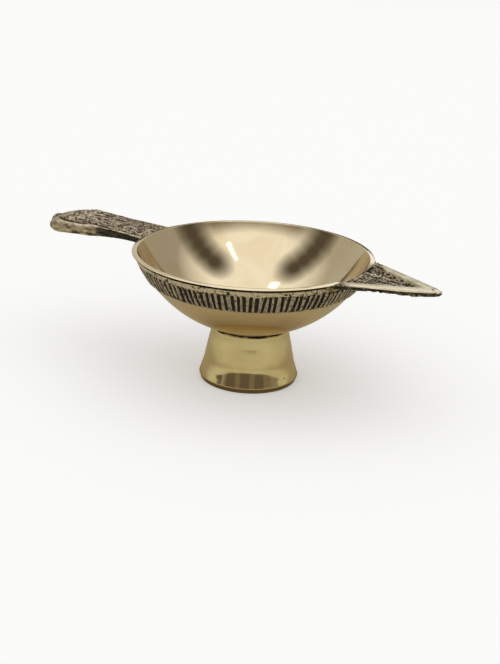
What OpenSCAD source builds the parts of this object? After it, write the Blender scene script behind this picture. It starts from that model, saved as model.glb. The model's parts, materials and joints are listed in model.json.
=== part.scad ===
// Footed brass oil lamp: a round bowl on a flared foot, with a flat relief handle on one side
// and a pointed wick spout on the other. The castings are brazed together.
// Frame: origin at the centre of the foot's resting ring, +X along the spout, +Z up, millimetres.

/* [Bowl] */
// Outer radius of the lip
rim_r = 37.6; // [37:0.1:38.2]
// Height of the top of the lip above the ground
rim_z = 41.4; // [41:0.1:42]
// Radius of the ball that the bowl's outside follows
bowl_r = 39.3; // [39:0.1:39.6]
// Thickness of the bowl wall at the bottom of the bowl; it is a little thicker at the rim
bowl_wall = 0.9; // [0.8:0.1:1.1]
// Height of the turned lip
lip_h = 0.45; // [0.4:0.05:0.7]

/* [Rim band] */
// Number of upright ribs around the bowl
rib_count = 120; // [60:4:128]
// Height of the lower edge of the ribs above the ground
rib_low_z = 32.5; // [31:0.1:33.5]
// Height of the seam between the ribs and the plain strip above them
rib_top_z = 38.6; // [37.8:0.1:39]
// How far the ribs stand out from the bowl wall
rib_proud = 0.6; // [0.5:0.05:0.9]

/* [Handle] */
// Distance from the lamp's axis to the end of the handle
handle_reach = 76.6; // [74:0.2:84]
// Half of the handle's width
handle_half_w = 8.1; // [7:0.1:9]
// Height of the highest point of the handle's arched top
handle_crest_z = 42.2; // [42:0.1:42.6]

/* [Spout] */
// Distance from the lamp's axis to the point of the spout
spout_reach = 62.3; // [58:0.1:68]
// Half of the spout's width where it leaves the bowl
spout_half_w = 14.4; // [14:0.1:16]
// Depth of the wick channel below the lip
channel_depth = 1.3; // [1.1:0.1:1.6]

/* [Foot] */
// Widest radius of the foot, just above the ground
foot_r = 15.8; // [15.4:0.1:17]
// Radius of the foot at its neck
neck_r = 12.4; // [12.3:0.1:13]

/* [Hidden] */
$fn = 180;

brass = [0.74, 0.65, 0.43];
cast_brass = [0.55, 0.47, 0.31];
filler = [0.66, 0.6, 0.42];

// Longer than the lamp, for cutting shapes
far = 90;
// Overlap of shapes that are joined or cut
bite = 0.2;

// The bowl is a ball cut off at the lip, hollowed by a slightly smaller ball
wall_r_at_rim = 36.72;
ball_z = rim_z + sqrt(bowl_r * bowl_r - wall_r_at_rim * wall_r_at_rim);
hollow_inset = 0.5;
hollow_r = bowl_r - hollow_inset;
hollow_z = ball_z - bowl_r + bowl_wall + hollow_r;
lip_z = rim_z - lip_h;
lip_chamfer = 0.15;
lip_inset = 2;
lip_inner_r = wall_r_at_rim - lip_inset;

// The turned boss under the bowl sits in the foot's bored collar
boss_r = 8.9;
boss_z = 14.9;
boss_fit = 0.1;
boss_bite = 1;

// Brazed gaps between the castings
foot_gap = 0.25;
root_gap = 0.2;
foot_braze_in_r = 9.4;
foot_braze_out_r = 11.8;
braze_below_top = 0.3;

// The rim band is a row of ribs with a plain strip above them, just below the lip
groove_floor = 0.15;
groove_w = 0.8;
groove_half_l = 6;
strip_proud = 0.5;
strip_below_lip = 0.4;
strip_top_z = lip_z - strip_below_lip;
notch_gap = 0.2;

// The handle's top is two arcs that meet at the crest, and its underside is a curve
handle_root_x = 33;
crest_x = 60;
root_arc_r = 300;
end_arc_r = 140;
end_round_l = 9.5;
underside = [[handle_root_x, 39.4], [51, 39.8], [60, 37.7], [80, 36.3]];
top_steps = 24;
under_steps = 12;
handle_overrun = 1;

// A raised frame, a midrib and slanting barbs decorate the handle's top
frame_w = 1.4;
frame_groove_w = 0.6;
frame_groove_d = 0.5;
midrib_half_w = 0.7;
barb_step = 2.4;
barb_w = 0.7;
barb_d = 0.35;
barb_angle = 55;
barb_margin = 4;

// The spout is a tapered trough with a raised border and a beaded point
spout_root_x = 30;
spout_ref_x = 34.5;
spout_tip_r = 1.2;
spout_tip_half_w = 0.9;
spout_edge_t = 1.9;
spout_belly_t = 3.2;
spout_belly_inset = 3;
border_w = 2.6;
channel_slope_w = 1.6;
channel_end_x = 57.5;
channel_floor_end_x = 53.5;
channel_floor_skin = 0.01;
channel_overrun = 2;
channel_z = rim_z - channel_depth;
tip_bead_r = 1.35;
tip_bead_drop = 1.3;

// Rows of cast studs cover the channel's floor
stud_r = 0.55;
stud_h = 0.4;
stud_pitch = 2.6;
stud_start_x = 37.2;
stud_shift = 0.8;
stud_rows = 2;
stud_columns = 5;

// The foot is a flared tube with a bevelled edge at the ground
foot_wide_z = 1.4;
foot_ground_r = 15.1;
foot_edge_bevel = [0.1, 0.8];
foot_bore_ground_r = 13.1;
foot_bore_top_r = 10.3;
collar_z = 14.2;
neck_z = 17.2;
foot_top_z = 19;
neck_chamfer = 0.4;
flare_sag = 0.4;

// The ball of the bowl's outside, grown by g
module ball(g = 0) translate([0, 0, ball_z]) sphere(r = bowl_r + g);

// Everything between the heights a and b
module slab(a, b) translate([0, 0, a]) cylinder(r = far, h = b - a);

// The outside of the bowl and its lip, grown by g, as the roots of the handle and spout meet it
module bowl_outside(g = 0) {
  ball(g);
  translate([0, 0, lip_z - g]) cylinder(r = rim_r + g, h = rim_z - lip_z + far);
}

// A flat turned ring with chamfered outer corners
module lip() rotate_extrude()
  polygon([
    [lip_inner_r, lip_z],
    [rim_r - lip_chamfer, lip_z],
    [rim_r, lip_z + lip_chamfer],
    [rim_r, rim_z - lip_chamfer],
    [rim_r - lip_chamfer, rim_z],
    [lip_inner_r, rim_z]
  ]);

module bowl() color(brass) difference() {
  union() {
    intersection() {
      ball();
      slab(0, lip_z);
    }
    lip();
    translate([0, 0, boss_z]) cylinder(r = boss_r, h = ball_z - bowl_r - boss_z + boss_bite);
  }
  translate([0, 0, hollow_z]) sphere(r = hollow_r);
  channel();
}

// Half of the spout's width at a distance x from the lamp's axis
spout_taper = (spout_half_w - spout_tip_half_w) / (spout_reach - spout_ref_x);
function spout_half(x) = spout_half_w - (x - spout_ref_x) * spout_taper;

// Plan of the spout, a triangle with a round point
module spout_plan(inset = 0) {
  root = spout_half(spout_root_x) - inset;
  tip_x = spout_reach - spout_tip_r - 2 * inset;
  tip_arc = [for (a = [60:-10:-60]) [tip_x, 0] + spout_tip_r * [cos(a), sin(a)]];
  polygon(concat([[spout_root_x, root]], tip_arc, [[spout_root_x, -root]]));
}

module spout_blank() hull() {
  translate([0, 0, rim_z - spout_edge_t]) linear_extrude(spout_edge_t) spout_plan();
  translate([0, 0, rim_z - spout_belly_t]) linear_extrude(bite) spout_plan(spout_belly_inset);
}

// The wick channel, open to the bowl: a level floor with slopes up to the borders
module channel() {
  open_x = spout_root_x - channel_overrun;
  top_half = spout_half(open_x) - border_w;
  floor_half = top_half - channel_slope_w;
  hull() {
    translate([0, 0, channel_z]) linear_extrude(channel_floor_skin)
      polygon([[open_x, floor_half], [channel_floor_end_x, 0], [open_x, -floor_half]]);
    translate([0, 0, rim_z]) linear_extrude(bite)
      polygon([[open_x, top_half], [channel_end_x, 0], [open_x, -top_half]]);
  }
}

module channel_studs()
  for (row = [-stud_rows:stud_rows], column = [0:stud_columns - 1]) {
    x = stud_start_x + column * stud_pitch + abs(row) * stud_shift;
    floor_half = spout_half(x) - border_w - channel_slope_w;
    if (abs(row) * stud_pitch < floor_half - stud_r)
      translate([x, row * stud_pitch, channel_z - bite])
        cylinder(r = stud_r, h = stud_h + bite, $fn = 24);
  }

module spout() color(cast_brass) {
  difference() {
    spout_blank();
    bowl_outside(root_gap);
    channel();
  }
  channel_studs();
  translate([spout_reach - tip_bead_r, 0, rim_z - tip_bead_drop]) sphere(r = tip_bead_r);
}

// Side view of the handle: heights of its top, and points [distance from the axis, height]
function handle_top(x) = handle_crest_z
  - (x - crest_x) * (x - crest_x) / (2 * (x < crest_x ? root_arc_r : end_arc_r));
function bezier(p, t) = pow(1 - t, 3) * p[0] + 3 * t * pow(1 - t, 2) * p[1]
  + 3 * t * t * (1 - t) * p[2] + pow(t, 3) * p[3];
top_l = handle_reach + handle_overrun - handle_root_x;
top_points = [
  for (i = [0:top_steps]) let (x = handle_root_x + top_l * i / top_steps) [x, handle_top(x)]
];
under_points = [for (i = [under_steps:-1:0]) bezier(underside, i / under_steps)];

// Plan of the handle: parallel sides, then a half ellipse at the end
module handle_plan(inset = 0) {
  half_w = handle_half_w - inset;
  flank_x = handle_reach - end_round_l;
  translate([handle_root_x, -half_w]) square([flank_x - handle_root_x, 2 * half_w]);
  translate([flank_x, 0])
    polygon([for (a = [-90:6:90]) [(end_round_l - inset) * cos(a), half_w * sin(a)]]);
}

// A plan made into an upright column, and a side view drawn across the whole width
module column() linear_extrude(far) children();
module across(points)
  translate([0, far / 2, 0]) rotate([90, 0, 0]) linear_extrude(far) polygon(points);

module handle_blank() intersection() {
  column() handle_plan();
  across(concat(top_points, under_points));
}

// The space above the handle's top, down to a depth below it
module above_top(depth) translate([0, 0, -depth])
  across(concat(top_points, [[handle_root_x + top_l, far], [handle_root_x, far]]));

module frame_groove() intersection() {
  above_top(frame_groove_d);
  column() difference() {
    handle_plan(frame_w);
    handle_plan(frame_w + frame_groove_w);
  }
}

module barb_grooves() intersection() {
  above_top(barb_d);
  column() intersection() {
    handle_plan(frame_w + frame_groove_w);
    for (side = [-1, 1], x = [handle_root_x + barb_margin:barb_step:handle_reach - barb_margin])
      translate([x, side * midrib_half_w]) rotate(side * barb_angle)
        translate([0, -barb_w / 2]) square([2 * handle_half_w, barb_w]);
  }
}

// The handle lies along -X
module handle() color(cast_brass) rotate(180) difference() {
  handle_blank();
  frame_groove();
  barb_grooves();
  bowl_outside(root_gap);
}

// Filler metal where the root of a child shape meets the bowl
module root_braze() color(filler) difference() {
  intersection() {
    children();
    bowl_outside(root_gap);
    translate([spout_root_x, -far, 0]) cube(2 * far);
  }
  bowl_outside();
}

module spout_braze() root_braze() difference() {
  spout_blank();
  channel();
}

module handle_braze() rotate(180) root_braze() difference() {
  handle_blank();
  above_top(braze_below_top);
}

// Ring between the bowl and a ball that is larger, between the heights a and b
module shell_ring(proud, a, b) difference() {
  intersection() {
    ball(proud);
    slab(a, b);
  }
  ball();
}

// The ribs lie along the ball, so their grooves tilt with it
rib_tilt = asin((ball_z - (rib_low_z + rib_top_z) / 2) / bowl_r);

module rib_grooves()
  for (i = [0:rib_count - 1])
    rotate(i * 360 / rib_count) translate([0, 0, ball_z]) rotate([0, rib_tilt, 0])
      translate([bowl_r + groove_floor, -groove_w / 2, -groove_half_l])
        cube([2 * rib_proud, groove_w, 2 * groove_half_l]);

// Room in the band, above a height, for the plan of a root that passes through it
module notch(low_z) translate([0, 0, low_z - notch_gap]) column() children();

module rim_band() color(cast_brass) difference() {
  union() {
    difference() {
      shell_ring(rib_proud, rib_low_z, rib_top_z);
      rib_grooves();
    }
    shell_ring(strip_proud, rib_top_z, strip_top_z);
  }
  notch(underside[0][1]) rotate(180) handle_plan(-notch_gap);
  notch(rim_z - spout_belly_t) spout_plan(-notch_gap);
}

// Circle whose arc hollows the foot's flank between its widest point and its neck
module flare_cut() {
  low = [foot_r, foot_wide_z];
  high = [neck_r, neck_z];
  chord = norm(high - low);
  outward = [high[1] - low[1], low[0] - high[0]] / chord;
  flare_r = chord * chord / (8 * flare_sag);
  translate((low + high) / 2 + (flare_r - flare_sag) * outward) circle(r = flare_r);
}

module foot() color(brass) difference() {
  rotate_extrude() difference() {
    polygon([
      [boss_r, 0],
      [foot_ground_r, 0],
      [foot_r, foot_wide_z] - foot_edge_bevel,
      [foot_r, foot_wide_z],
      [neck_r, neck_z],
      [neck_r - neck_chamfer, neck_z + neck_chamfer],
      [neck_r - neck_chamfer, foot_top_z],
      [boss_r, foot_top_z]
    ]);
    flare_cut();
    polygon([
      [0, -bite],
      [foot_bore_ground_r, -bite],
      [foot_bore_ground_r, 0],
      [foot_bore_top_r, collar_z],
      [0, collar_z]
    ]);
  }
  cylinder(r = boss_r + boss_fit, h = far);
  ball(foot_gap);
}

module foot_braze() color(filler) difference() {
  intersection() {
    ball(foot_gap);
    cylinder(r = foot_braze_out_r, h = foot_top_z);
  }
  ball();
  cylinder(r = foot_braze_in_r, h = far);
}

bowl();
rim_band();
handle();
spout();
foot();
foot_braze();
handle_braze();
spout_braze();
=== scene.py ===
"""Looks of a small footed brass oil lamp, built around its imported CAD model.

The lamp's own frame is +Z up and +X toward the wick spout, with the origin on the ground under
the foot. Shapes are worked out in millimetres and turned into metres where meshes are made."""

import json
import math

import bmesh
import bpy
import numpy as np
from mathutils import Matrix, Vector

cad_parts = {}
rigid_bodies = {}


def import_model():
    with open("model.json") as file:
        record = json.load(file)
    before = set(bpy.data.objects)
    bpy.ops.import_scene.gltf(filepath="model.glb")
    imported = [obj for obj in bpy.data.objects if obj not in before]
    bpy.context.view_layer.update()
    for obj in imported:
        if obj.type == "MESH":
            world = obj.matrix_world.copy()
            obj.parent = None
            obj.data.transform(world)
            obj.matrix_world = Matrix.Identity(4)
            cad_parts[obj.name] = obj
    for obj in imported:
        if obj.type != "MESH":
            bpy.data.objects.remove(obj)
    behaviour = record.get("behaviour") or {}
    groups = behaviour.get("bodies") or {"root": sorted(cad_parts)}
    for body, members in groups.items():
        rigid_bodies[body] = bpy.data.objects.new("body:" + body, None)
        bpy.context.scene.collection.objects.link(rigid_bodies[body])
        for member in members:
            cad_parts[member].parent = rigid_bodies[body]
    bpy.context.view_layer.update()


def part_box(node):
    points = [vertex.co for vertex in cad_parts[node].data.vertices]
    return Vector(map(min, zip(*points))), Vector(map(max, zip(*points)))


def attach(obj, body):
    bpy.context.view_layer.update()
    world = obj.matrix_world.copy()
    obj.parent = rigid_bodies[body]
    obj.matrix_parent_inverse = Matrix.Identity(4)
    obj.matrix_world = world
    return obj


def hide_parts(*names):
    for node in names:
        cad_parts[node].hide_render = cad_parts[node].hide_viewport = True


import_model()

MM = 0.001

# Sizes read from the CAD model, in millimetres
BOWL_LOW, BOWL_HIGH = (np.array(corner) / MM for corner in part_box("bowl"))
BAND_LOW, BAND_HIGH = (np.array(corner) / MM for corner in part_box("rim_band"))
HANDLE_END = -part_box("handle")[0][0] / MM
SPOUT_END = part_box("spout")[1][0] / MM
FOOT_TOP_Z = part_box("foot")[1][2] / MM

# The bowl is a ball cut off at the lip, hollowed by a slightly smaller ball
RIM_Z = BOWL_HIGH[2]
RIM_R = BOWL_HIGH[1]
LIP_Z = RIM_Z - 0.45
BALL_R = 39.3
WALL_R_AT_RIM = 36.72
BALL_Z = RIM_Z + math.sqrt(BALL_R**2 - WALL_R_AT_RIM**2)
HOLLOW_R = 38.8
HOLLOW_Z = BALL_Z - BALL_R + 0.9 + HOLLOW_R
BOSS_Z = BOWL_LOW[2]
BOSS_R = 8.9
ROOT_GAP = 0.2


# ---------------------------------------------------------------- shapes

def smoothstep(low, high, x):
    """0 below low, 1 above high and smooth between; low may be the larger."""
    t = np.clip((x - low) / (high - low), 0, 1)
    return t * t * (3 - 2 * t)


def lattice(cell, seed):
    """A repeatable number from -1 to 1 for each whole-number cell."""
    mixed = cell[..., 0] * 374761393 + cell[..., 1] * 668265263 + cell[..., 2] * 974634777 + seed * 1274126177
    mixed = mixed & 0xFFFFFFFF
    mixed = ((mixed ^ (mixed >> 13)) * 1103515245) & 0xFFFFFFFF
    return ((mixed ^ (mixed >> 16)) & 0xFFFF) / 32767.5 - 1


def noise(points, size, seed):
    """Smooth noise from -1 to 1 with lumps of about this size."""
    scaled = points / size
    cell = np.floor(scaled).astype(np.int64)
    part = scaled - cell
    part = part * part * (3 - 2 * part)
    total = 0
    for dx in (0, 1):
        for dy in (0, 1):
            for dz in (0, 1):
                corner = np.array([dx, dy, dz])
                weight = np.prod(np.where(corner == 1, part, 1 - part), axis=-1)
                total = total + weight * lattice(cell + corner, seed)
    return total


def rough(points, size, seed, octaves=3):
    """Noise at several sizes, each half of the one before."""
    return sum(noise(points, size / 2**i, seed + i) / 2**i for i in range(octaves))


def flat_points(x, y):
    """Points of a plane, for noise that doesn't change with height."""
    x, y = np.broadcast_arrays(x, y)
    return np.stack([x, y, np.zeros_like(x)], axis=-1)


def bumps(x, y, pitch, radius, seed, stretch=1.0):
    """Round bumps on a staggered grid, from 0 between them to 1 at their tops; stretch is along x."""
    x = x / stretch
    row = np.round(y / (pitch * 0.87))
    offset = 0.5 * (np.abs(row) % 2)
    column = np.round(x / pitch - offset)
    cell = np.stack([column, row, 0 * row], axis=-1).astype(np.int64)
    dx = x - (column + offset + 0.16 * lattice(cell, seed)) * pitch
    dy = y - (row * 0.87 + 0.16 * lattice(cell, seed + 1)) * pitch
    size = radius * (1 + 0.3 * lattice(cell, seed + 2))
    return np.sqrt(np.clip(1 - (dx**2 + dy**2) / size**2, 0, 1))


def surface(name, grid, patina, grey=0.0, close_u=False, close_v=False, caps=False):
    """A smooth quad mesh through a grid of points. Each point has dark patina, partly painted shade under
    the lip, and a grey bloom, from 0 to 1. Caps close the first and last rows of a tube."""
    count_u, count_v = grid.shape[:2]
    index = np.arange(count_u * count_v).reshape(count_u, count_v)
    if close_u:
        index = np.concatenate([index, index[:1]], axis=0)
    if close_v:
        index = np.concatenate([index, index[:, :1]], axis=1)
    corners = [index[:-1, :-1], index[1:, :-1], index[1:, 1:], index[:-1, 1:]]
    faces = np.stack(corners, axis=-1).reshape(-1, 4).tolist()
    points = grid.reshape(-1, 3)
    looks = np.stack([np.broadcast_to(value, grid.shape[:2]).ravel() for value in (patina, grey)])
    if caps:
        for row in (index[0], index[-1]):
            faces += [(int(a), int(b), len(points)) for a, b in zip(row[:-1], row[1:])]
            points = np.concatenate([points, points[row[:-1]].mean(axis=0)[None]])
            looks = np.concatenate([looks, looks[:, row[:1]]], axis=1)
    mesh = bpy.data.meshes.new(name)
    mesh.from_pydata(points * MM, [], faces)
    for label, values in zip(("patina", "grey"), looks):
        mesh.attributes.new(label, "FLOAT", "POINT").data.foreach_set("value", values.astype(np.float32))
    work = bmesh.new()
    work.from_mesh(mesh)
    bmesh.ops.remove_doubles(work, verts=work.verts, dist=2e-7)
    bmesh.ops.dissolve_degenerate(work, edges=work.edges, dist=1e-8)
    bmesh.ops.recalc_face_normals(work, faces=work.faces)
    work.to_mesh(mesh)
    work.free()
    mesh.shade_smooth()
    piece = bpy.data.objects.new(name, mesh)
    bpy.context.scene.collection.objects.link(piece)
    return piece


def arc(centre, radius, start, end, steps):
    """Points on an arc, with angles in degrees."""
    angles = np.radians(np.linspace(start, end, steps))
    return np.column_stack([centre[0] + radius * np.cos(angles), centre[1] + radius * np.sin(angles)])


def rounded(corners, steps=5):
    """An outline through corners (x, y, rounding), each rounded by a curve that starts that far away."""
    points = []
    for i, (x, y, size) in enumerate(corners):
        here = np.array([x, y])
        if size == 0 or i in (0, len(corners) - 1):
            points.append(here[None])
            continue
        before = np.array(corners[i - 1][:2]) - here
        after = np.array(corners[i + 1][:2]) - here
        start = here + before / np.linalg.norm(before) * size
        end = here + after / np.linalg.norm(after) * size
        t = np.linspace(0, 1, steps)[:, None]
        points.append((1 - t) ** 2 * start + 2 * t * (1 - t) * here + t**2 * end)
    return np.concatenate(points)


def divided(outline, longest):
    """The same outline with extra points, so that no step is longer than this."""
    pieces = []
    for start, end in zip(outline[:-1], outline[1:]):
        steps = max(1, math.ceil(np.linalg.norm(end - start) / longest))
        pieces.append(start + (end - start) * np.linspace(0, 1, steps, endpoint=False)[:, None])
    return np.concatenate([*pieces, outline[-1:]])


def through(knots, x):
    """A smooth curve through given (x, y) knots, flat beyond the ends."""
    kx, ky = np.array(knots, dtype=float).T
    slope = np.gradient(ky, kx)
    x = np.clip(x, kx[0], kx[-1])
    i = np.clip(np.searchsorted(kx, x) - 1, 0, len(kx) - 2)
    span = kx[i + 1] - kx[i]
    t = (x - kx[i]) / span
    return (
        ky[i] * (1 + 2 * t) * (1 - t) ** 2
        + slope[i] * span * t * (1 - t) ** 2
        + ky[i + 1] * t * t * (3 - 2 * t)
        + slope[i + 1] * span * t * t * (t - 1)
    )


def ball_radius(z, grow=0.0):
    """Distance from the lamp's axis to the outside of the bowl's wall at a height."""
    return np.sqrt(np.maximum((BALL_R + grow) ** 2 - (z - BALL_Z) ** 2, 0))


def hollow_radius(z):
    """Distance from the lamp's axis to the inside of the bowl's wall at a height."""
    return np.sqrt(np.maximum(HOLLOW_R**2 - (z - HOLLOW_Z) ** 2, 0))


def rows_outward(root_r, end, half, across, count, ease):
    """A grid (x, y) that starts on a circle round the lamp's axis and runs out to an end;
    across goes from -1 to 1 over the width."""
    across = across[None, :]
    start = np.broadcast_to(root_r, across.shape)
    for _ in range(20):
        start = np.sqrt(np.maximum(root_r**2 - (across * half(start)) ** 2, 0))
    t = np.linspace(0, 1, count)[:, None]
    x = start + (end - start) * (1 - (1 - t) ** ease)
    return x, across * half(x)


def stacked(x, y, z):
    return np.stack(np.broadcast_arrays(x, y, z), axis=-1)


# ---------------------------------------------------------------- wick spout and its channel

SPOUT_TAPER = 0.485
SPOUT_SHIFT = 0.015
SPOUT_TIP_HALF = 0.9
SPOUT_TIP_R = 1.5
BORDER_W = 2.3
CHANNEL_SLOPE_W = 1.7
CHANNEL_DEPTH = 1.3


def spout_half(x):
    """Half of the spout's width: tapering sides that swell a little before a round tip."""
    straight = SPOUT_TAPER * (SPOUT_END - x) + SPOUT_TIP_HALF
    swell = 0.8 * np.sin(np.clip((x - 40) / (SPOUT_END - 40), 0, 1) ** 1.3 * np.pi) ** 2
    into_tip = np.clip(x - (SPOUT_END - SPOUT_TIP_R), 0, SPOUT_TIP_R)
    tip = np.sqrt(SPOUT_TIP_R**2 - into_tip**2)
    return np.where(into_tip > 0, np.minimum(straight + swell, tip), straight + swell)


def spout_middle(x):
    """The hand-cast spout is slightly askew."""
    return SPOUT_SHIFT * (SPOUT_END - x)


def from_spout_edge(x, y):
    """Distance inwards from the nearer side of the spout."""
    aside = np.abs(y - spout_middle(x))
    return (SPOUT_TAPER * (SPOUT_END - x) + SPOUT_TIP_HALF - aside) / math.hypot(1, SPOUT_TAPER)


def channel_z(x, y):
    """Height of the channel's floor and slopes, and of the border beside them."""
    return RIM_Z - CHANNEL_DEPTH * smoothstep(BORDER_W, BORDER_W + CHANNEL_SLOPE_W, from_spout_edge(x, y))


# ---------------------------------------------------------------- bowl

def make_bowl():
    top_angle = math.degrees(math.asin((RIM_Z - 0.5 - HOLLOW_Z) / HOLLOW_R))
    inside = arc((0, HOLLOW_Z), HOLLOW_R, -90, top_angle, 64)
    lip = rounded([
        (*inside[-1], 0),
        (hollow_radius(RIM_Z), RIM_Z, 0.14),
        (RIM_R - 0.75, RIM_Z - 0.12, 0.2),
        (RIM_R - 0.15, RIM_Z - 0.23, 0.14),
        (RIM_R, RIM_Z - 0.36, 0.06),
        (RIM_R, LIP_Z, 0.06),
        (ball_radius(LIP_Z), LIP_Z, 0.1),
        (ball_radius(LIP_Z - 0.4), LIP_Z - 0.4, 0),
    ])
    low_angle = -90 + math.degrees(math.asin(BOSS_R / BALL_R))
    high_angle = math.degrees(math.asin((LIP_Z - 0.5 - BALL_Z) / BALL_R))
    outside = arc((0, BALL_Z), BALL_R, high_angle, low_angle, 44)
    boss = np.array([[BOSS_R, BOSS_Z], [0, BOSS_Z]])
    outline = np.concatenate([inside, divided(lip[1:], 0.4), outside, boss])

    # Rows stand closer where the channel cuts the lip
    even = np.arange(0, 360, 1.0)
    near_cut = np.arange(10, 30, 0.2)
    angles = np.radians(np.unique(np.round(np.concatenate([even, near_cut, 360 - near_cut]), 3)))
    r, z = (np.broadcast_to(column, (len(angles), len(outline))).copy() for column in outline.T)
    x, y = r * np.cos(angles)[:, None], r * np.sin(angles)[:, None]
    # Where the wick channel leaves the bowl, the wall is cut down just under the spout's floor
    cut = np.where(x > 20, channel_z(x, y) - 0.3 * (channel_z(x, y) < RIM_Z - 0.01), RIM_Z)
    lowered = np.minimum(z, cut)
    inner_side = np.arange(len(outline)) < len(inside) + 3
    wall = np.where(inner_side, np.maximum(r, hollow_radius(lowered)), np.minimum(r, ball_radius(lowered)))
    r = np.where((z > lowered) & (lowered < LIP_Z), wall, r)
    z = lowered
    # The polished wall isn't perfectly true
    points = stacked(r * np.cos(angles)[:, None], r * np.sin(angles)[:, None], z)
    wave = 0.02 * noise(points, 9, 11) + 0.006 * noise(points, 3.5, 12)
    normal = (points - [0, 0, BALL_Z]) / BALL_R
    hidden = smoothstep(BOSS_R + 3, BOSS_R + 1, r) * (z < BOSS_Z + 2.5)
    points = points + normal * (wave * (1 - hidden))[..., None]
    # Painted shade: the groove under the lip is painted black, standing in for its shadow
    groove_shade = (r > ball_radius(z) - 0.1) * (z > 39) * smoothstep(LIP_Z + 0.16, LIP_Z + 0.1, z)
    groove_shade = groove_shade * (cut > RIM_Z - 0.05)
    piece = surface("bowl_metal", points, groove_shade, close_u=True)
    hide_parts("bowl")
    return piece


# ---------------------------------------------------------------- rim band

RIB_COUNT = 120
RIB_LOW_Z = BAND_LOW[2]
RIB_TOP_Z = 38.6
STRIP_TOP_Z = BAND_HIGH[2]
BAND_PROUD = 0.55
BAND_R = 36.3
SPOUT_GAP_HALF = 15.9
CHANNEL_GAP_HALF = 14.5
UNDER_SPOUT_Z = 38.2
HANDLE_GAP_HALF = 8.5
UNDER_HANDLE_Z = 39.0


def around_bowl(angle, levels):
    """Points on the outside of the bowl's wall."""
    return stacked(ball_radius(levels) * np.cos(angle), ball_radius(levels) * np.sin(angle), levels)


def slot_distance(turn, levels, lumps):
    """Distance in millimetres from the edge of the nearest slot between two ribs, negative inside.
    Each slot was cut into the pattern by hand, so it is shifted, leaning, wider or longer."""
    rng = np.random.RandomState(7)
    pitch = 2 * np.pi * 36.2 / RIB_COUNT
    number = np.floor(turn * RIB_COUNT).astype(int) % RIB_COUNT
    shift = (0.15 * rng.randn(RIB_COUNT))[number]
    lean = (0.08 * rng.randn(RIB_COUNT))[number]
    half = (0.46 + 0.06 * rng.randn(RIB_COUNT))[number]
    low = RIB_LOW_Z - 0.1 + (0.7 * rng.rand(RIB_COUNT))[number]
    top = RIB_TOP_Z + (0.35 * rng.rand(RIB_COUNT))[number]
    dx = (turn * RIB_COUNT - np.floor(turn * RIB_COUNT) - 0.5) * pitch - shift - lean * (levels - 35.5)
    dz = levels - np.clip(levels, low + half, top - half)
    return np.hypot(dx, dz) - half + 0.09 * lumps


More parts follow.
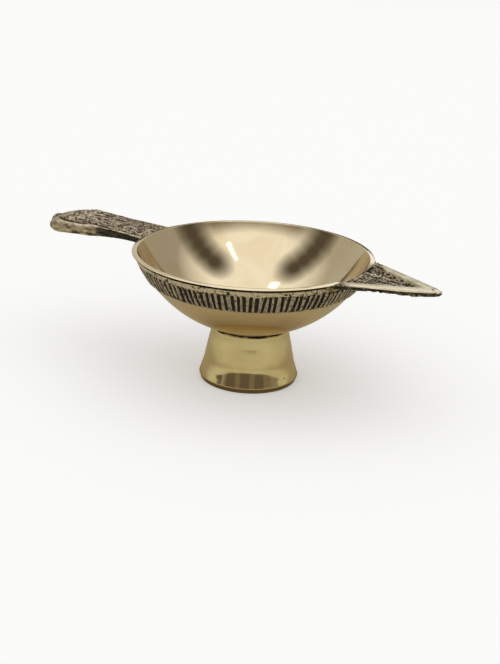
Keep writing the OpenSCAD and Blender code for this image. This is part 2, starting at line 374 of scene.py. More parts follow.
def make_rim_band():
    columns = RIB_COUNT * 15
    turn = (np.arange(columns) / columns)[:, None]
    angle = turn * 2 * np.pi
    levels = np.concatenate([
        np.linspace(STRIP_TOP_Z, RIB_TOP_Z + 0.1, 15),
        np.linspace(RIB_TOP_Z - 0.1, RIB_LOW_Z, 28),
    ])[None, :]
    wall = around_bowl(angle, levels)
    lumps = rough(wall, 1.1, 31, 2)
    grain = 0.7 * noise(wall, 0.36, 41) + 0.5 * noise(wall, 0.7, 43)
    distance = slot_distance(turn, levels, lumps)
    in_slot = smoothstep(0.1, -0.1, distance)
    in_strip = smoothstep(RIB_TOP_Z + 0.15, RIB_TOP_Z + 0.4, levels)
    # Ribs have raised edges and lumpy, slightly hollow faces, and run out into the wall below
    rib_edge = np.exp(-((distance - 0.22) / 0.1) ** 2) * (1 - in_strip)
    face = BAND_PROUD + 0.1 * rib_edge + 0.06 * lumps + (0.05 + 0.05 * in_strip) * grain
    face = face - 0.1 * smoothstep(0.25, 0.5, distance) * (1 - in_strip)
    face = face * smoothstep(RIB_LOW_Z - 0.3, RIB_LOW_Z + 1.1, levels + 0.25 * lumps)
    # A broken scratch line parts the ribs from the strip
    joint = np.exp(-((levels - RIB_TOP_Z - 0.15 + 0.1 * lumps) / 0.15) ** 2)
    joint = joint * smoothstep(-0.2, 0.35, noise(wall, 4, 45))
    height = (face - 0.2 * joint) * (1 - in_slot) + 0.1 * in_slot
    height = height * smoothstep(STRIP_TOP_Z - 0.02, STRIP_TOP_Z - 0.2, levels)
    # The strip stops where the roots of the handle and the spout pass through it
    x, y = wall[..., 0], wall[..., 1]
    at_spout = (x > 0) * smoothstep(SPOUT_GAP_HALF, SPOUT_GAP_HALF - 0.4, np.abs(y))
    at_spout = at_spout * smoothstep(UNDER_SPOUT_Z, UNDER_SPOUT_Z + 0.3, levels)
    at_handle = (x < 0) * smoothstep(HANDLE_GAP_HALF, HANDLE_GAP_HALF - 0.4, np.abs(y))
    at_handle = at_handle * smoothstep(UNDER_HANDLE_Z, UNDER_HANDLE_Z + 0.3, levels)
    height = height * (1 - at_spout) * (1 - at_handle) - 0.3 * (at_spout + at_handle)
    front = wall + (wall - [0, 0, BALL_Z]) / BALL_R * height[..., None]
    # Under the wick channel there is no strip at all
    in_channel = (np.cos(angle) > 0) & (np.abs(BAND_R * np.sin(angle)) < CHANNEL_GAP_HALF)
    cut_away = (in_channel & (levels > UNDER_SPOUT_Z))[..., None]
    front = np.where(cut_away, around_bowl(angle, UNDER_SPOUT_Z + 0 * levels), front)
    # Black stays in the slots, in pits between the grains and more thickly toward the two roots
    near_roots = smoothstep(28, 36, np.abs(x))
    specks = smoothstep(0.15, 0.5, -grain + 0.25 * lumps)
    rib_shade = 0.3 - 0.34 * rib_edge + 0.22 * lumps - 0.2 * grain
    strip_shade = 0.06 + 0.16 * lumps - 0.2 * grain + 0.15 * near_roots
    patina = rib_shade * (1 - in_strip) + strip_shade * in_strip + (0.45 + 0.3 * in_strip) * specks
    patina = np.maximum.reduce([patina, smoothstep(0.16, 0.02, distance), 0.9 * joint])
    patina = patina * (1 - 0.7 * smoothstep(RIB_LOW_Z + 0.7, RIB_LOW_Z + 0.1, levels) * (1 - in_slot))
    # Painted shade: the strip's top edge, under the lip's overhang, is painted black
    patina = np.maximum(patina, smoothstep(STRIP_TOP_Z - 0.22, STRIP_TOP_Z - 0.05, levels))
    # Back of the band, on the bowl's wall
    back_levels = np.linspace(RIB_LOW_Z, STRIP_TOP_Z, 5)[None, :]
    back_levels = np.where(in_channel, np.minimum(back_levels, UNDER_SPOUT_Z), back_levels)
    back = around_bowl(angle, back_levels)
    grid = np.concatenate([front, back], axis=1)
    shade = np.concatenate([np.clip(patina, 0, 1), np.ones(back.shape[:2])], axis=1)
    grey = np.concatenate([0.9 - 0.9 * in_strip + 0 * patina, np.zeros(back.shape[:2])], axis=1)
    piece = surface("rim_band_cast", grid, shade, grey, close_u=True, close_v=True)
    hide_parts("rim_band")
    return piece


# ---------------------------------------------------------------- spout

def side_wall(start, finish, steps, out, outward):
    """Rows of a side between two edges; out pushes it sideways, as a function of the way down."""
    down = np.linspace(0, 1, steps + 2)[None, 1:-1, None]
    wall = start[:, None, :] + (finish - start)[:, None, :] * down
    wall[..., 1] = wall[..., 1] + outward * out(down[..., 0], wall)
    return wall


def make_spout():
    spread = np.linspace(-1, 1, 171)
    across = 0.35 * np.sin(spread * np.pi / 2) + 0.65 * spread
    # The floor reaches over the cut wall to the bowl's inside; the borders start at the lip
    root_inside = (1 - np.abs(across)) * spout_half(34.0) / math.hypot(1, SPOUT_TAPER)
    opening = smoothstep(BORDER_W + 0.1, BORDER_W + 1.3, root_inside)
    floor_root = hollow_radius(RIM_Z - CHANNEL_DEPTH)
    root_r = (RIM_R - 0.05) * (1 - opening) + floor_root * opening
    x, y = rows_outward(root_r, SPOUT_END, spout_half, across, 200, 1.25)
    y = y + spout_middle(x) * np.ones_like(y)
    inside = from_spout_edge(x, y)
    channel = smoothstep(BORDER_W, BORDER_W + CHANNEL_SLOPE_W, inside)
    flat = flat_points(x, y)
    grain = noise(flat, 0.42, 51)
    lumps = rough(flat, 1.3, 52, 2)

    # Slanting rows of pits between lumps, up to a short way from the tip
    fan = (y - spout_middle(x)) / np.maximum(spout_half(x), 0.5) * 11
    slant_x, slant_y = x + 0.25 * fan + 0.3 * lumps, fan + 0.35 * lumps
    pits = bumps(slant_x, slant_y, 1.2, 0.62, 53, 1.5)
    rows = 0.5 + 0.5 * np.cos(slant_y * 2 * np.pi / 3.1)
    far_root = smoothstep(43, 38, x) * (y > spout_middle(x))
    textured = smoothstep(BORDER_W + 0.4, BORDER_W + 1.2, inside - 0.2 * lumps + 0.9 * far_root)
    at_mouth = smoothstep(-0.3, 0.7, np.hypot(x, y) - root_r + 0.5 * lumps)
    textured = textured * smoothstep(55.5, 52, x + 1.5 * lumps) * at_mouth
    relief = textured * (0.22 * lumps + 0.1 * grain - 0.5 * pits * (0.25 + 0.75 * rows))
    # A dark rough patch lies on each border where it leaves the lip
    patch = smoothstep(3.4, 0.8, np.hypot(x - 37, np.abs(y) - 13) + 0.9 * lumps) * (1 - channel)
    shoulder = np.clip((0.7 - inside) / 0.7, 0, 1)
    edge_drop = 0.55 * (1 - np.sqrt(1 - shoulder**2))
    tip_drop = 0.3 * np.clip((x - 36) / 26, 0, 1) ** 1.5
    to_tip = np.clip((x - SPOUT_END + 1.8) / 1.8, 0, 1)
    tip_drop = tip_drop + 0.7 * (1 - np.sqrt(1 - to_tip**2))
    top_z = RIM_Z - CHANNEL_DEPTH * channel + relief - edge_drop - tip_drop + 0.02 * lumps
    top_z = top_z - 0.2 * patch * (0.5 + grain)
    top = stacked(x, y, np.minimum(top_z, RIM_Z))
    mouth_edge = top[0] + [0.05, 0, -0.6] * (opening > 0.05)[:, None]
    dark_pits = smoothstep(0.1, 0.45, pits * (0.3 + 0.7 * rows))
    top_patina = textured * np.maximum(0.42 + 0.3 * grain + 0.2 * lumps, dark_pits)
    streaks = noise(stacked(x * 0.35, inside * 1.6, 0 * x), 0.9, 55)
    far_side = smoothstep(-0.5, 1.5, y - spout_middle(x))
    border = 0.02 + 0.08 * lumps + (0.16 + 0.18 * streaks) * far_side + 0.06 * streaks
    top_patina = np.maximum(top_patina + (1 - textured) * border, patch * (0.6 + 0.4 * grain))
    ring = np.exp(-((np.hypot(SPOUT_END - x - 1.5, y - spout_middle(x)) - 1.35) / 0.22) ** 2)
    top_patina = np.maximum(top_patina, 0.85 * ring * smoothstep(1.2, 2.4, SPOUT_END - x))

    back_across = np.linspace(1, -1, 61)
    bx, by = rows_outward(ball_radius(39.5, ROOT_GAP), SPOUT_END, spout_half, back_across, 200, 1.25)
    by = by + spout_middle(bx)
    b_inside = from_spout_edge(bx, by)
    b_lumps = rough(flat_points(bx, by), 1.2, 61, 3)
    wave = np.abs(np.sin((bx + 1.4 * b_lumps) * np.pi / 3.6))
    scallop = (0.3 + 0.15 * b_lumps) * wave * smoothstep(3.0, 0, b_inside)
    scallop = scallop * smoothstep(SPOUT_END, SPOUT_END - 6, bx)
    belly = 1.4 * smoothstep(0.2, 5.5, b_inside)
    side_h = 1.35 + 0.5 * smoothstep(46, 58, bx)
    to_tip = np.clip((bx - SPOUT_END + 1.8) / 1.8, 0, 1)
    bottom_z = RIM_Z - side_h - scallop - belly + 0.1 * b_lumps + 0.7 * (1 - np.sqrt(1 - to_tip**2))
    bottom = stacked(bx, by, bottom_z)
    bottom_patina = 0.55 + 0.35 * b_lumps - 0.3 * smoothstep(0.5, 1, wave) * smoothstep(1.2, 0, b_inside)

    # A dark rough wall on each side, under the pale shoulder of the border
    def bulge(down, wall):
        return -0.35 * np.sin(down * np.pi) + 0.16 * rough(wall, 0.8, 71, 2)

    right = side_wall(top[:, -1], bottom[:, 0], 9, bulge, 1)
    left = side_wall(bottom[:, -1], top[:, 0], 9, bulge, -1)
    grid = np.concatenate([top, right, bottom, left], axis=1)
    first = np.concatenate([mouth_edge, right[0], bottom[0], left[0]])
    grid = np.concatenate([first[None], grid])
    walls = [0.95 + 0.5 * rough(wall, 0.9, 75, 2) for wall in (right, left)]
    patina = np.concatenate([top_patina, walls[0], bottom_patina, walls[1]], axis=1)
    patina = np.clip(np.concatenate([patina[:1], patina]), 0, 1)
    grey = np.full_like(patina, 0.4)
    grey[1:, :top.shape[1]] = 0.1 + 0.3 * textured + 0.2 * far_side * (1 - textured)
    piece = surface("spout_cast", grid, patina, grey, close_v=True, caps=True)
    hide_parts("spout")
    return piece


# ---------------------------------------------------------------- handle

PANEL_END = 73.0


def handle_half(s):
    """Half of the handle's width: a slight waist, then a blunt round end."""
    waist = 7.7 + 0.6 * (np.clip(50 - s, 0, 17) / 12) ** 2 + 0.5 * smoothstep(50, 61, s)
    end = np.clip((s - 65.5) / (HANDLE_END - 65.5), 0, 1)
    return waist * np.sqrt(np.clip(1 - end**2.7, 0, 1))


def handle_top(s):
    knots = [(33, 41.0), (38, 41.3), (46, 41.75), (56, 42.0), (64, 42.1), (70, 41.85), (74, 41.1), (77, 40.0)]
    return through(knots, s)


def handle_under(s):
    return through([(33, 39.1), (43, 39.1), (51, 38.7), (59, 37.8), (66, 37.15), (72, 36.7), (77, 37.1)], s)


def handle_relief(s, v, lumps):
    """Cast leaf pattern: depth below the top, and how much black sits in it."""
    ragged = 1 - np.abs(rough(flat_points(s, v * 1.2), 2.0, 85, 2))
    swirl_s, swirl_v = s + 0.9 * lumps, v + 0.7 * lumps
    rings = bumps(swirl_s, swirl_v, 2.5, 1.35, 91)
    curls = 0.9 * smoothstep(0.25, 0.6, rings) - smoothstep(0.75, 0.97, rings)
    curls = np.maximum(curls, smoothstep(0.8, 0.97, ragged))
    streaks = 0.5 + 0.5 * np.sin((np.abs(v) + 0.14 * s + 0.45 * lumps) * 2 * np.pi / 1.8)
    streaks = streaks * (0.55 + 0.45 * smoothstep(-0.5, 0.3, noise(flat_points(s, v * 3), 2.2, 88)))
    dots = bumps(s + 0.3 * lumps, v + 0.2 * lumps, 1.75, 0.9, 95)
    to_streaks = smoothstep(50, 53, s + 2 * lumps)
    to_dots = smoothstep(60, 64, s + 0.35 * np.abs(v) + 1.5 * lumps)
    pattern = (curls * (1 - to_streaks) + streaks * to_streaks) * (1 - to_dots) + dots * to_dots
    calm = smoothstep(74, 66, s)
    depth = 0.5 * (1 - to_dots) + (0.12 + 0.26 * calm) * to_dots
    black = smoothstep(0.52, 0.1, pattern) * (1 - to_dots + 0.85 * calm * to_dots)
    return 1.15 * depth * (pattern - 0.55), black


def make_handle():
    spread = np.linspace(-1, 1, 131)
    across = 0.8 * spread + 0.2 * np.sin(spread * np.pi / 2)
    s, v = rows_outward(RIM_R - 0.05, HANDLE_END, handle_half, across, 300, 1.3)
    half = handle_half(s)
    flat = flat_points(s, v)
    grain = noise(flat, 0.45, 81)
    lumps = rough(flat, 1.6, 82, 2)
    end = smoothstep(55, 62, s)
    edge = np.abs(v) / np.maximum(half, 0.3)

    # A panel with a round end inside a groove, and a raised line along both edges
    panel_half = 6.8 * np.sqrt(np.clip(1 - np.clip((s - 65) / (PANEL_END - 65), 0, 1) ** 2.5, 0, 1))
    panel_edge = panel_half - np.abs(v)
    groove = np.exp(-((panel_edge + 0.2) / 0.3) ** 2) * (0.6 + 0.5 * smoothstep(-0.6, 0.4, lumps))
    in_panel = smoothstep(0.0, 0.5, panel_edge)
    border_line = np.exp(-((half - np.abs(v) - 0.7) / 0.45) ** 2) * (1 - end)
    pattern, black = handle_relief(s, v, lumps)
    # A small round lobe at the very end, with a dark ring
    lobe = np.hypot(s - (HANDLE_END - 1.1), (v + 1.6) * 0.8)
    on_lobe = np.sqrt(np.clip(1 - (lobe / 1.7) ** 2, 0, 1))
    lobe_ring = np.exp(-((lobe - 2.0) / 0.4) ** 2) * smoothstep(PANEL_END - 1, PANEL_END, s)

    # The near edge falls away toward the end; the far one is bent up
    near = smoothstep(2, -2, v)
    bend = through([(54, 0), (57, 0.15), (60, 0.7), (63.5, 1.0), (67, 0.6), (70.5, 0.3), (76, 0.4)], s)
    shoulder = (0.25 + 0.75 * end) * edge**4 + 0.1 * edge**2 - bend * (1 - near) * smoothstep(0.5, 6.5, v)
    relief = in_panel * pattern - 0.4 * groove + 0.3 * border_line + 0.05 * grain + 0.05 * lumps
    top_z = handle_top(s) - shoulder + relief + 0.6 * on_lobe - 0.2 * lobe_ring
    top = stacked(-s, v, top_z)
    # Black sits in the panel's pattern, its groove and the lobe's ring, with darker mottled patches in the
    # panel
    top_patina = 0.32 + 0.08 * in_panel + 0.8 * in_panel * black + 0.8 * groove - 0.15 * border_line
    top_patina = top_patina + 0.18 * grain + 0.2 * lumps + 0.9 * lobe_ring + 0.3 * on_lobe * (0.5 + lumps)
    top_patina = top_patina + 0.12 * smoothstep(0.2, -0.4, noise(flat_points(s * 0.5, v), 1.6, 89)) * in_panel

    back_across = np.linspace(1, -1, 41)
    us, uv = rows_outward(ball_radius(39.4, ROOT_GAP), HANDLE_END, handle_half, back_across, 300, 1.3)
    u_lumps = rough(flat_points(us, uv), 2.2, 101, 3)
    turned_up = 0.4 * np.abs(back_across) ** 4 * (0.3 + smoothstep(55, 62, us))
    under_z = handle_under(us) + 0.08 * u_lumps + turned_up
    under = stacked(-us, uv, under_z)
    under_patina = 0.5 + 0.35 * u_lumps

    # Full rounded sides near the end, and dark undercut ones toward the bowl
    def bulge(down, wall):
        full = smoothstep(50, 57, -wall[..., 0])
        near_tip = smoothstep(HANDLE_END, HANDLE_END - 2.5, -wall[..., 0])
        push = (1.3 * full - 0.5) * np.sin(down * np.pi) ** 0.8
        return push * near_tip + 0.1 * rough(wall, 1.2, 111, 2)

    def wall_patina(wall, down):
        full = smoothstep(49, 58, -wall[..., 0] + 1.5 * noise(wall, 1.4, 117))
        mottle = rough(wall * [0.7, 1, 1.6], 1.1, 115, 3)
        low = smoothstep(0.5, 0.9, down) * smoothstep(72, 56, -wall[..., 0])
        tip = smoothstep(HANDLE_END - 5, HANDLE_END - 1.5, -wall[..., 0]) * smoothstep(0.1, 0.5, down)
        worn = 0.4 + 0.3 * mottle + 0.55 * low * smoothstep(-1.0, 0.0, mottle) + 0.75 * tip
        return (1 - full) * (0.95 + 0.2 * mottle) + full * worn

    right = side_wall(top[:, -1], under[:, 0], 12, bulge, 1)
    left = side_wall(under[:, -1], top[:, 0], 12, bulge, -1)
    down = np.linspace(0, 1, 14)[None, 1:-1]
    grid = np.concatenate([top, right, under, left], axis=1)
    patina = [top_patina, wall_patina(right, down), under_patina, wall_patina(left, down[:, ::-1])]
    patina = np.clip(np.concatenate(patina, axis=1), 0, 1)
    grey = np.zeros_like(patina)
    grey[:, :top.shape[1]] = 0.15 + 0.4 * in_panel
    piece = surface("handle_cast", grid, patina, grey, close_v=True, caps=True)
    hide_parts("handle")
    return piece


# ---------------------------------------------------------------- foot

NECK_Z = 17.2
BASE_BEVEL_Z = 1.6
REST_IN_R = 13.1
REST_OUT_R = 15.1
BORE_R = 9.0
COLLAR_LOW_Z = 14.2
# Height and radius up the flank
FLANK = [
    (1.6, 15.72), (3.2, 15.22), (5.0, 14.66), (6.6, 14.24),
    (8.4, 13.9), (11.6, 13.25), (15.2, 12.5), (17.2, 12.2),
]


def make_foot():
    heights = np.linspace(BASE_BEVEL_Z, NECK_Z, 60)
    flank = np.column_stack([through(FLANK, heights), heights])
    base = rounded([(REST_IN_R, 0.0, 0), (REST_OUT_R, 0.0, 0.3), (15.7, BASE_BEVEL_Z - 0.12, 0)])
    crown = rounded([
        (12.25, NECK_Z, 0),
        (12.15, FOOT_TOP_Z, 0.25),
        (11.6, FOOT_TOP_Z, 0.2),
        (BORE_R, 16.9, 0),
    ])
    bore = np.array([[BORE_R, COLLAR_LOW_Z], [10.3, COLLAR_LOW_Z], [REST_IN_R, 0.0]])
    outline = divided(np.concatenate([base, flank, crown, bore]), 0.6)
    angles = np.radians(np.arange(0, 360, 0.8))[:, None]
    r, z = outline[:, 0][None, :], outline[:, 1][None, :]
    points = stacked(r * np.cos(angles), r * np.sin(angles), z)
    wave = 0.05 * noise(points, 8, 121) + 0.012 * noise(points, 2.5, 122)
    seen = (r > 11.5) * smoothstep(0.05, 1.0, z)
    outwards = stacked(np.cos(angles), np.sin(angles), 0)
    points = points + outwards * (wave * seen)[..., None]
    # The seam under the bowl opens and closes round the neck
    on_crown = smoothstep(NECK_Z - 0.1, NECK_Z + 0.25, z) * (r > 11.5)
    seam = noise(stacked(12 * np.cos(angles), 12 * np.sin(angles), 0 * z), 2.6, 125)
    points[..., 2] = points[..., 2] + on_crown * (0.14 * seam - 0.1)
    hollow = (r < 12.0) | ((z > 0.1) & (r < REST_IN_R + 0.01 - z * 0.19))
    patina = np.where(hollow, 0.75, 0.0) + 0 * seam
    patina = np.maximum(patina, smoothstep(NECK_Z + 0.15, NECK_Z + 0.4, z + 0.5 * noise(points, 1.6, 127)))
    patina = np.maximum(patina, 0.6 * smoothstep(BASE_BEVEL_Z + 0.02, BASE_BEVEL_Z - 0.12, z))
    piece = surface("foot_metal", points, np.clip(patina, 0, 1), close_u=True, close_v=True)
    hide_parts("foot")
    return piece


# ---------------------------------------------------------------- materials

def new_material(name):
    material = bpy.data.materials.new(name)
    material.use_nodes = True
    return material, material.node_tree


def add(tree, kind, inputs, **settings):
    """A new shader node. Its inputs, by name or number, are values or other nodes' outputs."""
    node = tree.nodes.new("ShaderNode" + kind)
    for key, value in settings.items():
        setattr(node, key, value)
    for key, value in inputs.items():
        if isinstance(value, bpy.types.NodeSocket):
            tree.links.new(value, node.inputs[key])
        else:
            node.inputs[key].default_value = value
    return node


def maths(tree, operation, *values, clamp=False):
    return add(tree, "Math", dict(enumerate(values)), operation=operation, use_clamp=clamp).outputs[0]


def colour_mix(tree, factor, a, b):
    """Colour a where the factor is 0 and b where it is 1."""
    return add(tree, "Mix", {0: factor, 6: a, 7: b}, data_type="RGBA").outputs[2]


def remap(tree, value, low, high, to_low=0.0, to_high=1.0):
    return add(tree, "MapRange", {0: value, 1: low, 2: high, 3: to_low, 4: to_high}).outputs[0]


def ramp(tree, factor, stops):
    """Colours at places from 0 to 1, with smooth changes between."""
    node = add(tree, "ValToRGB", {"Fac": factor})
    while len(node.color_ramp.elements) < len(stops):
        node.color_ramp.elements.new(0.5)
    for element, (place, colour) in zip(node.color_ramp.elements, stops):
        element.position = place
        element.color = (*colour, 1)
    return node.outputs["Color"]


def grains(tree, size, detail, vector, distortion=0.0):
    """Noise from 0 to 1 with grains of about this many millimetres."""
    settings = {"Vector": vector, "Scale": 1 / (size * MM), "Detail": detail, "Distortion": distortion}
    return add(tree, "TexNoise", settings).outputs[0]


def finish_shader(tree, **links):
    """Links colours, roughness, metallic and normal to the material's shader."""
    shader = tree.nodes["Principled BSDF"]
    for key, value in links.items():
        socket = shader.inputs[key.replace("_", " ")]
        if isinstance(value, bpy.types.NodeSocket):
            tree.links.new(value, socket)
        else:
            socket.default_value = value


def bump(tree, height, depth, strength=1.0, under=None):
    inputs = {"Height": height, "Distance": depth * MM, "Strength": strength}
    if under is not None:
        inputs["Normal"] = under
    return add(tree, "Bump", inputs).outputs["Normal"]


def polished_brass(name, bright, worn):
    """Turned and polished brass: faint rings round the axis, hairline scratches, tarnish and pits."""
    material, tree = new_material(name)
    place = add(tree, "TexCoord", {}).outputs["Object"]
    x, y, z = add(tree, "SeparateXYZ", {"Vector": place}).outputs
    squares = maths(tree, "ADD", maths(tree, "MULTIPLY", x, x), maths(tree, "MULTIPLY", y, y))
    axis_distance = maths(tree, "SQRT", squares)
    on_profile = add(tree, "CombineXYZ", {"X": axis_distance, "Z": z}).outputs[0]
    rings = grains(tree, 0.35, 2, on_profile)
    cloud = grains(tree, 13, 4, place, 0.6)
    stretch = {"Vector": place, "Rotation": (0.5, 0.3, 0.9), "Scale": (1, 9, 9)}
    stretched = add(tree, "Mapping", stretch).outputs[0]
    hairlines = remap(tree, grains(tree, 1.6, 2, stretched), 0.58, 0.72)
    cells = {"Vector": place, "Scale": 1 / (6.5 * MM), "Randomness": 1.0}
    spots = add(tree, "TexVoronoi", cells).outputs["Distance"]
    pits = remap(tree, spots, 0.045, 0.02)
    # The patina attribute holds dark residue, and painted shade in the groove under the bowl's lip
    residue_and_shade = add(tree, "Attribute", {}, attribute_name="patina").outputs["Fac"]
    dark = maths(tree, "MAXIMUM", residue_and_shade, maths(tree, "MULTIPLY", pits, 0.9), clamp=True)
    tarnish = remap(tree, cloud, 0.4, 0.75)
    colour = colour_mix(tree, tarnish, (*bright, 1), (*worn, 1))
    colour = colour_mix(tree, dark, colour, (0.03, 0.021, 0.012, 1))
    roughness = remap(tree, rings, 0.3, 0.7, 0.03, 0.08)
    roughness = maths(tree, "ADD", roughness, maths(tree, "MULTIPLY", tarnish, 0.03))
    roughness = maths(tree, "ADD", roughness, maths(tree, "MULTIPLY", hairlines, 0.08))
    roughness = maths(tree, "ADD", roughness, maths(tree, "MULTIPLY", dark, 0.4), clamp=True)
    normal = bump(tree, rings, 0.004, 0.5)
    normal = bump(tree, maths(tree, "SUBTRACT", 1.0, pits), 0.05, 1.0, normal)
    finish_shader(tree, Base_Color=colour, Roughness=roughness, Metallic=1.0, Normal=normal)
    return material


def cast_brass():
    """Rough cast brass: worn bright tops, brown flanks and black in the hollows."""
    material, tree = new_material("cast_brass")
    place = add(tree, "TexCoord", {}).outputs["Object"]
    grain = grains(tree, 0.22, 3, place)
    blotch = grains(tree, 2.6, 3, place, 0.5)
    # The patina attribute also holds painted shade on the band's strip top under the lip
    patina = add(tree, "Attribute", {}, attribute_name="patina").outputs["Fac"]
    patina = maths(tree, "ADD", patina, remap(tree, grain, 0.2, 0.8, -0.2, 0.2))
    patina = maths(tree, "ADD", patina, remap(tree, blotch, 0.3, 0.7, -0.07, 0.07), clamp=True)
    metal = ramp(tree, patina, [
        (0.0, (0.86, 0.77, 0.58)),
        (0.28, (0.64, 0.55, 0.38)),
        (0.5, (0.36, 0.29, 0.185)),
        (0.72, (0.13, 0.1, 0.064)),
        (1.0, (0.012, 0.009, 0.006)),
    ])
    bloom = add(tree, "Attribute", {}, attribute_name="grey").outputs["Fac"]
    bloom = maths(tree, "MULTIPLY", bloom, remap(tree, blotch, 0.35, 0.6, 0.35, 1.0))
    bloom = maths(tree, "MULTIPLY", bloom, remap(tree, patina, 0.75, 0.3, 0.0, 0.8))
    colour = colour_mix(tree, bloom, metal, (0.5, 0.44, 0.39, 1))
    roughness = remap(tree, patina, 0.0, 0.8, 0.27, 0.62)
    metallic = remap(tree, patina, 0.5, 1.0, 0.85, 0.35)
    normal = bump(tree, grain, 0.07, 0.7)
    finish_shader(tree, Base_Color=colour, Roughness=roughness, Metallic=metallic, Normal=normal)
    return material


def braze_filler():
    """Brazing alloy: dull, blobby and stained by flux."""
    material, tree = new_material("braze_filler")
    place = add(tree, "TexCoord", {}).outputs["Object"]
    blobs = grains(tree, 0.9, 3, place, 0.8)
    stain = grains(tree, 3.0, 3, place)
    colour = ramp(tree, stain, [
        (0.3, (0.62, 0.53, 0.36)),
        (0.52, (0.4, 0.32, 0.2)),
        (0.7, (0.1, 0.075, 0.045)),
    ])
    roughness = remap(tree, stain, 0.3, 0.7, 0.35, 0.7)
    normal = bump(tree, blobs, 0.12, 0.8)
    finish_shader(tree, Base_Color=colour, Roughness=roughness, Metallic=1.0, Normal=normal)
    return material


def set_material(piece, material):
    piece.data.materials.clear()
    piece.data.materials.append(material)


# ---------------------------------------------------------------- camera

CAMERA_AZIMUTH = 28.75
CAMERA_ELEVATION = 20.2
CAMERA_ROLL = 2.67
CAMERA_DISTANCE = 0.4
CAMERA_LENS = 68.4
CAMERA_AIM = (0.0, 0.0, 0.01487)


def direction(azimuth, elevation):
    """Unit vector from the lamp; azimuth 0 is -Y, and 90 is +X."""
    a, e = math.radians(azimuth), math.radians(elevation)
    return Vector((math.sin(a) * math.cos(e), -math.cos(a) * math.cos(e), math.sin(e)))


def make_camera():
    data = bpy.data.cameras.new("camera")
    data.lens = CAMERA_LENS
    data.sensor_width = 36
    camera = bpy.data.objects.new("camera", data)
    bpy.context.scene.collection.objects.link(camera)
    back = direction(CAMERA_AZIMUTH, CAMERA_ELEVATION)
    camera.location = Vector(CAMERA_AIM) + back * CAMERA_DISTANCE
    look = (-back).to_track_quat("-Z", "Y").to_matrix().to_4x4()
    roll = Matrix.Rotation(math.radians(CAMERA_ROLL), 4, "Z")
    camera.rotation_euler = (look @ roll).to_euler()
    bpy.context.scene.camera = camera


# ---------------------------------------------------------------- studio

DOME_R = 1.5
DOME_CENTRE = Vector((0, 0, 0.04))


def stage_mesh(name, points, faces, material):
    """A studio object that only the lamp's reflections see."""
    mesh = bpy.data.meshes.new(name)
    mesh.from_pydata(points, [], faces)
    mesh.materials.append(material)
    item = bpy.data.objects.new(name, mesh)
    bpy.context.scene.collection.objects.link(item)
    item.visible_camera = False
    item.visible_diffuse = False
    item.visible_shadow = False
    return item


def on_dome(azimuth, elevation, distance=DOME_R):
    """A point of the dome round the lamp, with its azimuth counted from the camera's."""
    return DOME_CENTRE + direction(CAMERA_AZIMUTH + azimuth, elevation) * distance


def card(name, left, right, low, high, material, distance=DOME_R):
    """A plain upright card on the dome, curved round the lamp, between two azimuths and two elevations."""
    steps = max(1, math.ceil((right - left) / 4))
    points = [
        on_dome(left + (right - left) * i / steps, elevation, distance)
        for i in range(steps + 1) for elevation in (low, high)
    ]
    faces = [(2 * i, 2 * i + 1, 2 * i + 3, 2 * i + 2) for i in range(steps)]
    return stage_mesh(name, points, faces, material)


def glow(name, colour, strength=1.0):
    """A material that shines evenly."""
    material, tree = new_material(name)
    tree.nodes.remove(tree.nodes["Principled BSDF"])
    light = add(tree, "Emission", {"Color": (*colour, 1), "Strength": strength})
    tree.links.new(light.outputs[0], tree.nodes["Material Output"].inputs["Surface"])
    return material


SIDE_LEFT = (0.47, 0.45, 0.4)
SIDE_RIGHT = (0.37, 0.34, 0.29)
OVERHEAD = (1.0, 0.98, 0.94)
SHADE = (0.09, 0.075, 0.055)
FRONT_SHADE = (0.2, 0.165, 0.115)


def toward(tree, way, azimuth, elevation, edge, core):
    """1 within a core of this many degrees round a direction, fading to 0 at the edge."""
    middle = tuple(direction(CAMERA_AZIMUTH + azimuth, elevation))
    near = add(tree, "VectorMath", {0: way, 1: middle}, operation="DOT_PRODUCT").outputs["Value"]
    return remap(tree, near, math.cos(math.radians(edge)), math.cos(math.radians(core)))


def make_world():
    """Soft pale light overhead and greyer sides, in reflections; plain and pale behind the floor."""
    world = bpy.data.worlds.new("studio")
    bpy.context.scene.world = world
    world.use_nodes = True
    tree = world.node_tree
    way = add(tree, "TexCoord", {}).outputs["Generated"]
    up = add(tree, "SeparateXYZ", {"Vector": way}).outputs["Z"]
    front = direction(CAMERA_AZIMUTH, 0)
    right = direction(CAMERA_AZIMUTH + 90, 0)
    ahead = add(tree, "VectorMath", {0: way, 1: tuple(front)}, operation="DOT_PRODUCT").outputs["Value"]
    aside = add(tree, "VectorMath", {0: way, 1: tuple(right)}, operation="DOT_PRODUCT").outputs["Value"]
    level = maths(tree, "ADD", up, maths(tree, "MULTIPLY", ahead, 0.22))
    side = colour_mix(tree, remap(tree, aside, -0.3, 0.7), (*SIDE_LEFT, 1), (*SIDE_RIGHT, 1))
    around = colour_mix(tree, remap(tree, level, 0.44, 0.8), side, (*OVERHEAD, 1))
    # Soft shade low in front and at each side, in reflections only, gives the polished metal contrast
    light_path = add(tree, "LightPath", {}).outputs
    low_front = maths(tree, "MULTIPLY", remap(tree, up, 0.64, 0.44), remap(tree, ahead, 0.3, 0.6))
    low_front = maths(tree, "MULTIPLY", low_front, light_path["Is Glossy Ray"])
    around = colour_mix(tree, low_front, around, (*FRONT_SHADE, 1))
    for azimuth in (-80, 74):
        shade = toward(tree, way, azimuth, 20, 19, 4)
        for elevation in (29, 38, 47, 56):
            shade = maths(tree, "MAXIMUM", shade, toward(tree, way, azimuth, elevation, 19, 4))
        shade = maths(tree, "MULTIPLY", shade, light_path["Is Glossy Ray"])
        around = colour_mix(tree, shade, around, (*SHADE, 1))
    colour = colour_mix(tree, light_path["Is Camera Ray"], around, (0.93, 0.93, 0.93, 1))
    tree.links.new(colour, tree.nodes["Background"].inputs["Color"])


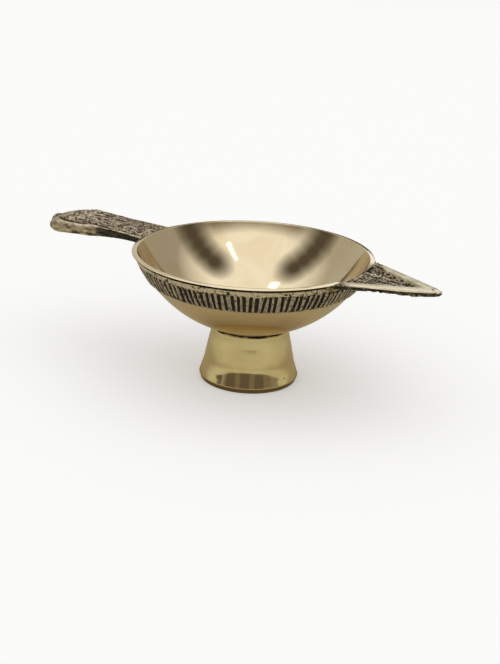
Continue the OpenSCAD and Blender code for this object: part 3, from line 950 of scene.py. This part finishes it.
def make_floor():
    size = 6
    corners = [(-size, -size, 0), (size, -size, 0), (size, size, 0), (-size, size, 0)]
    mesh = bpy.data.meshes.new("floor")
    mesh.from_pydata(corners, [], [(0, 1, 2, 3)])
    floor = bpy.data.objects.new("floor", mesh)
    bpy.context.scene.collection.objects.link(floor)
    material, tree = new_material("floor")
    finish_shader(tree, Base_Color=(0.86, 0.88, 0.92, 1), Roughness=1.0)
    finish_shader(tree, Emission_Color=(1, 1, 1, 1), Emission_Strength=0.3)
    mesh.materials.append(material)
    floor.visible_glossy = False

    # What the lamp's underside mirrors in place of the pale floor: dark brown close by, with the lamp's
    # shadow painted in, and paler further off
    material, tree = new_material("under_card")
    tree.nodes.remove(tree.nodes["Principled BSDF"])
    place = add(tree, "TexCoord", {}).outputs["Object"]
    away = add(tree, "VectorMath", {0: place}, operation="LENGTH").outputs["Value"]
    stops = [
        # Painted shadow: the card is darkest close to the foot
        (0.012, (0.2, 0.145, 0.07)),
        (0.03, (0.35, 0.29, 0.18)),
        (0.06, (0.36, 0.32, 0.22)),
        (0.12, (0.47, 0.44, 0.31)),
        (0.3, (0.54, 0.52, 0.37)),
    ]
    light = add(tree, "Emission", {"Color": ramp(tree, away, stops)})
    tree.links.new(light.outputs[0], tree.nodes["Material Output"].inputs["Surface"])
    under = stage_mesh("under_card", corners, [(0, 1, 2, 3)], material)
    under.location.z = -0.0001


def make_reflections():
    """Plain studio cards for the polished metal to mirror."""
    dark = glow("dark_card", (0.13, 0.105, 0.08))
    strip = glow("strip_light", OVERHEAD, 3.0)
    # Cards in front of others stand nearer than the dome
    middle, near = 0.84 * DOME_R, 0.76 * DOME_R

    # Upright dark cards over a pale strip give the foot its streaks
    card("pale_strip", -100, 100, -8, 3, glow("pale_strip", (0.55, 0.53, 0.38)), middle)
    for left in range(-86, 46, 34):
        card("upright_%d" % left, left, left + 22, 3, 20, dark, middle)

    # A strip light and a small overhead one, and what the lip mirrors behind the lamp
    card("strip_light", 34, 39, 48, 66, strip, near)
    card("spot_light", -130, -106, 70, 76, strip, near)
    card("back_row", 166, 194, -10, 11, glow("back_card", SHADE))
    card("side_light_right", 148, 172, 11, 34, glow("side_light_right", (0.98, 1.02, 1.08)))
    card("side_light_left", -172, -148, 11, 34, glow("side_light_left", (0.6, 0.58, 0.53)))
    card("back_light", 140, 220, 34, 66, glow("back_light", OVERHEAD))


def make_studio():
    bpy.context.scene.view_settings.view_transform = "Standard"
    make_world()
    make_floor()
    make_reflections()


make_camera()
make_studio()

BOWL_TINT = ((0.87, 0.75, 0.53), (0.8, 0.66, 0.43))
FOOT_TINT = ((0.85, 0.72, 0.45), (0.76, 0.61, 0.34))
bowl_brass = polished_brass("bowl_brass", *BOWL_TINT)
foot_brass = polished_brass("foot_brass", *FOOT_TINT)
cast = cast_brass()
filler = braze_filler()

for make, material, slot in (
    (make_bowl, bowl_brass, "polished_brass"),
    (make_foot, foot_brass, "polished_brass"),
    (make_rim_band, cast, "cast_brass"),
    (make_spout, cast, "cast_brass"),
    (make_handle, cast, "cast_brass"),
):
    piece = make()
    set_material(piece, material)
    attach(piece, "root")

for item in bpy.data.objects:
    if item.name in ("foot_braze", "handle_braze", "spout_braze"):
        set_material(item, filler)
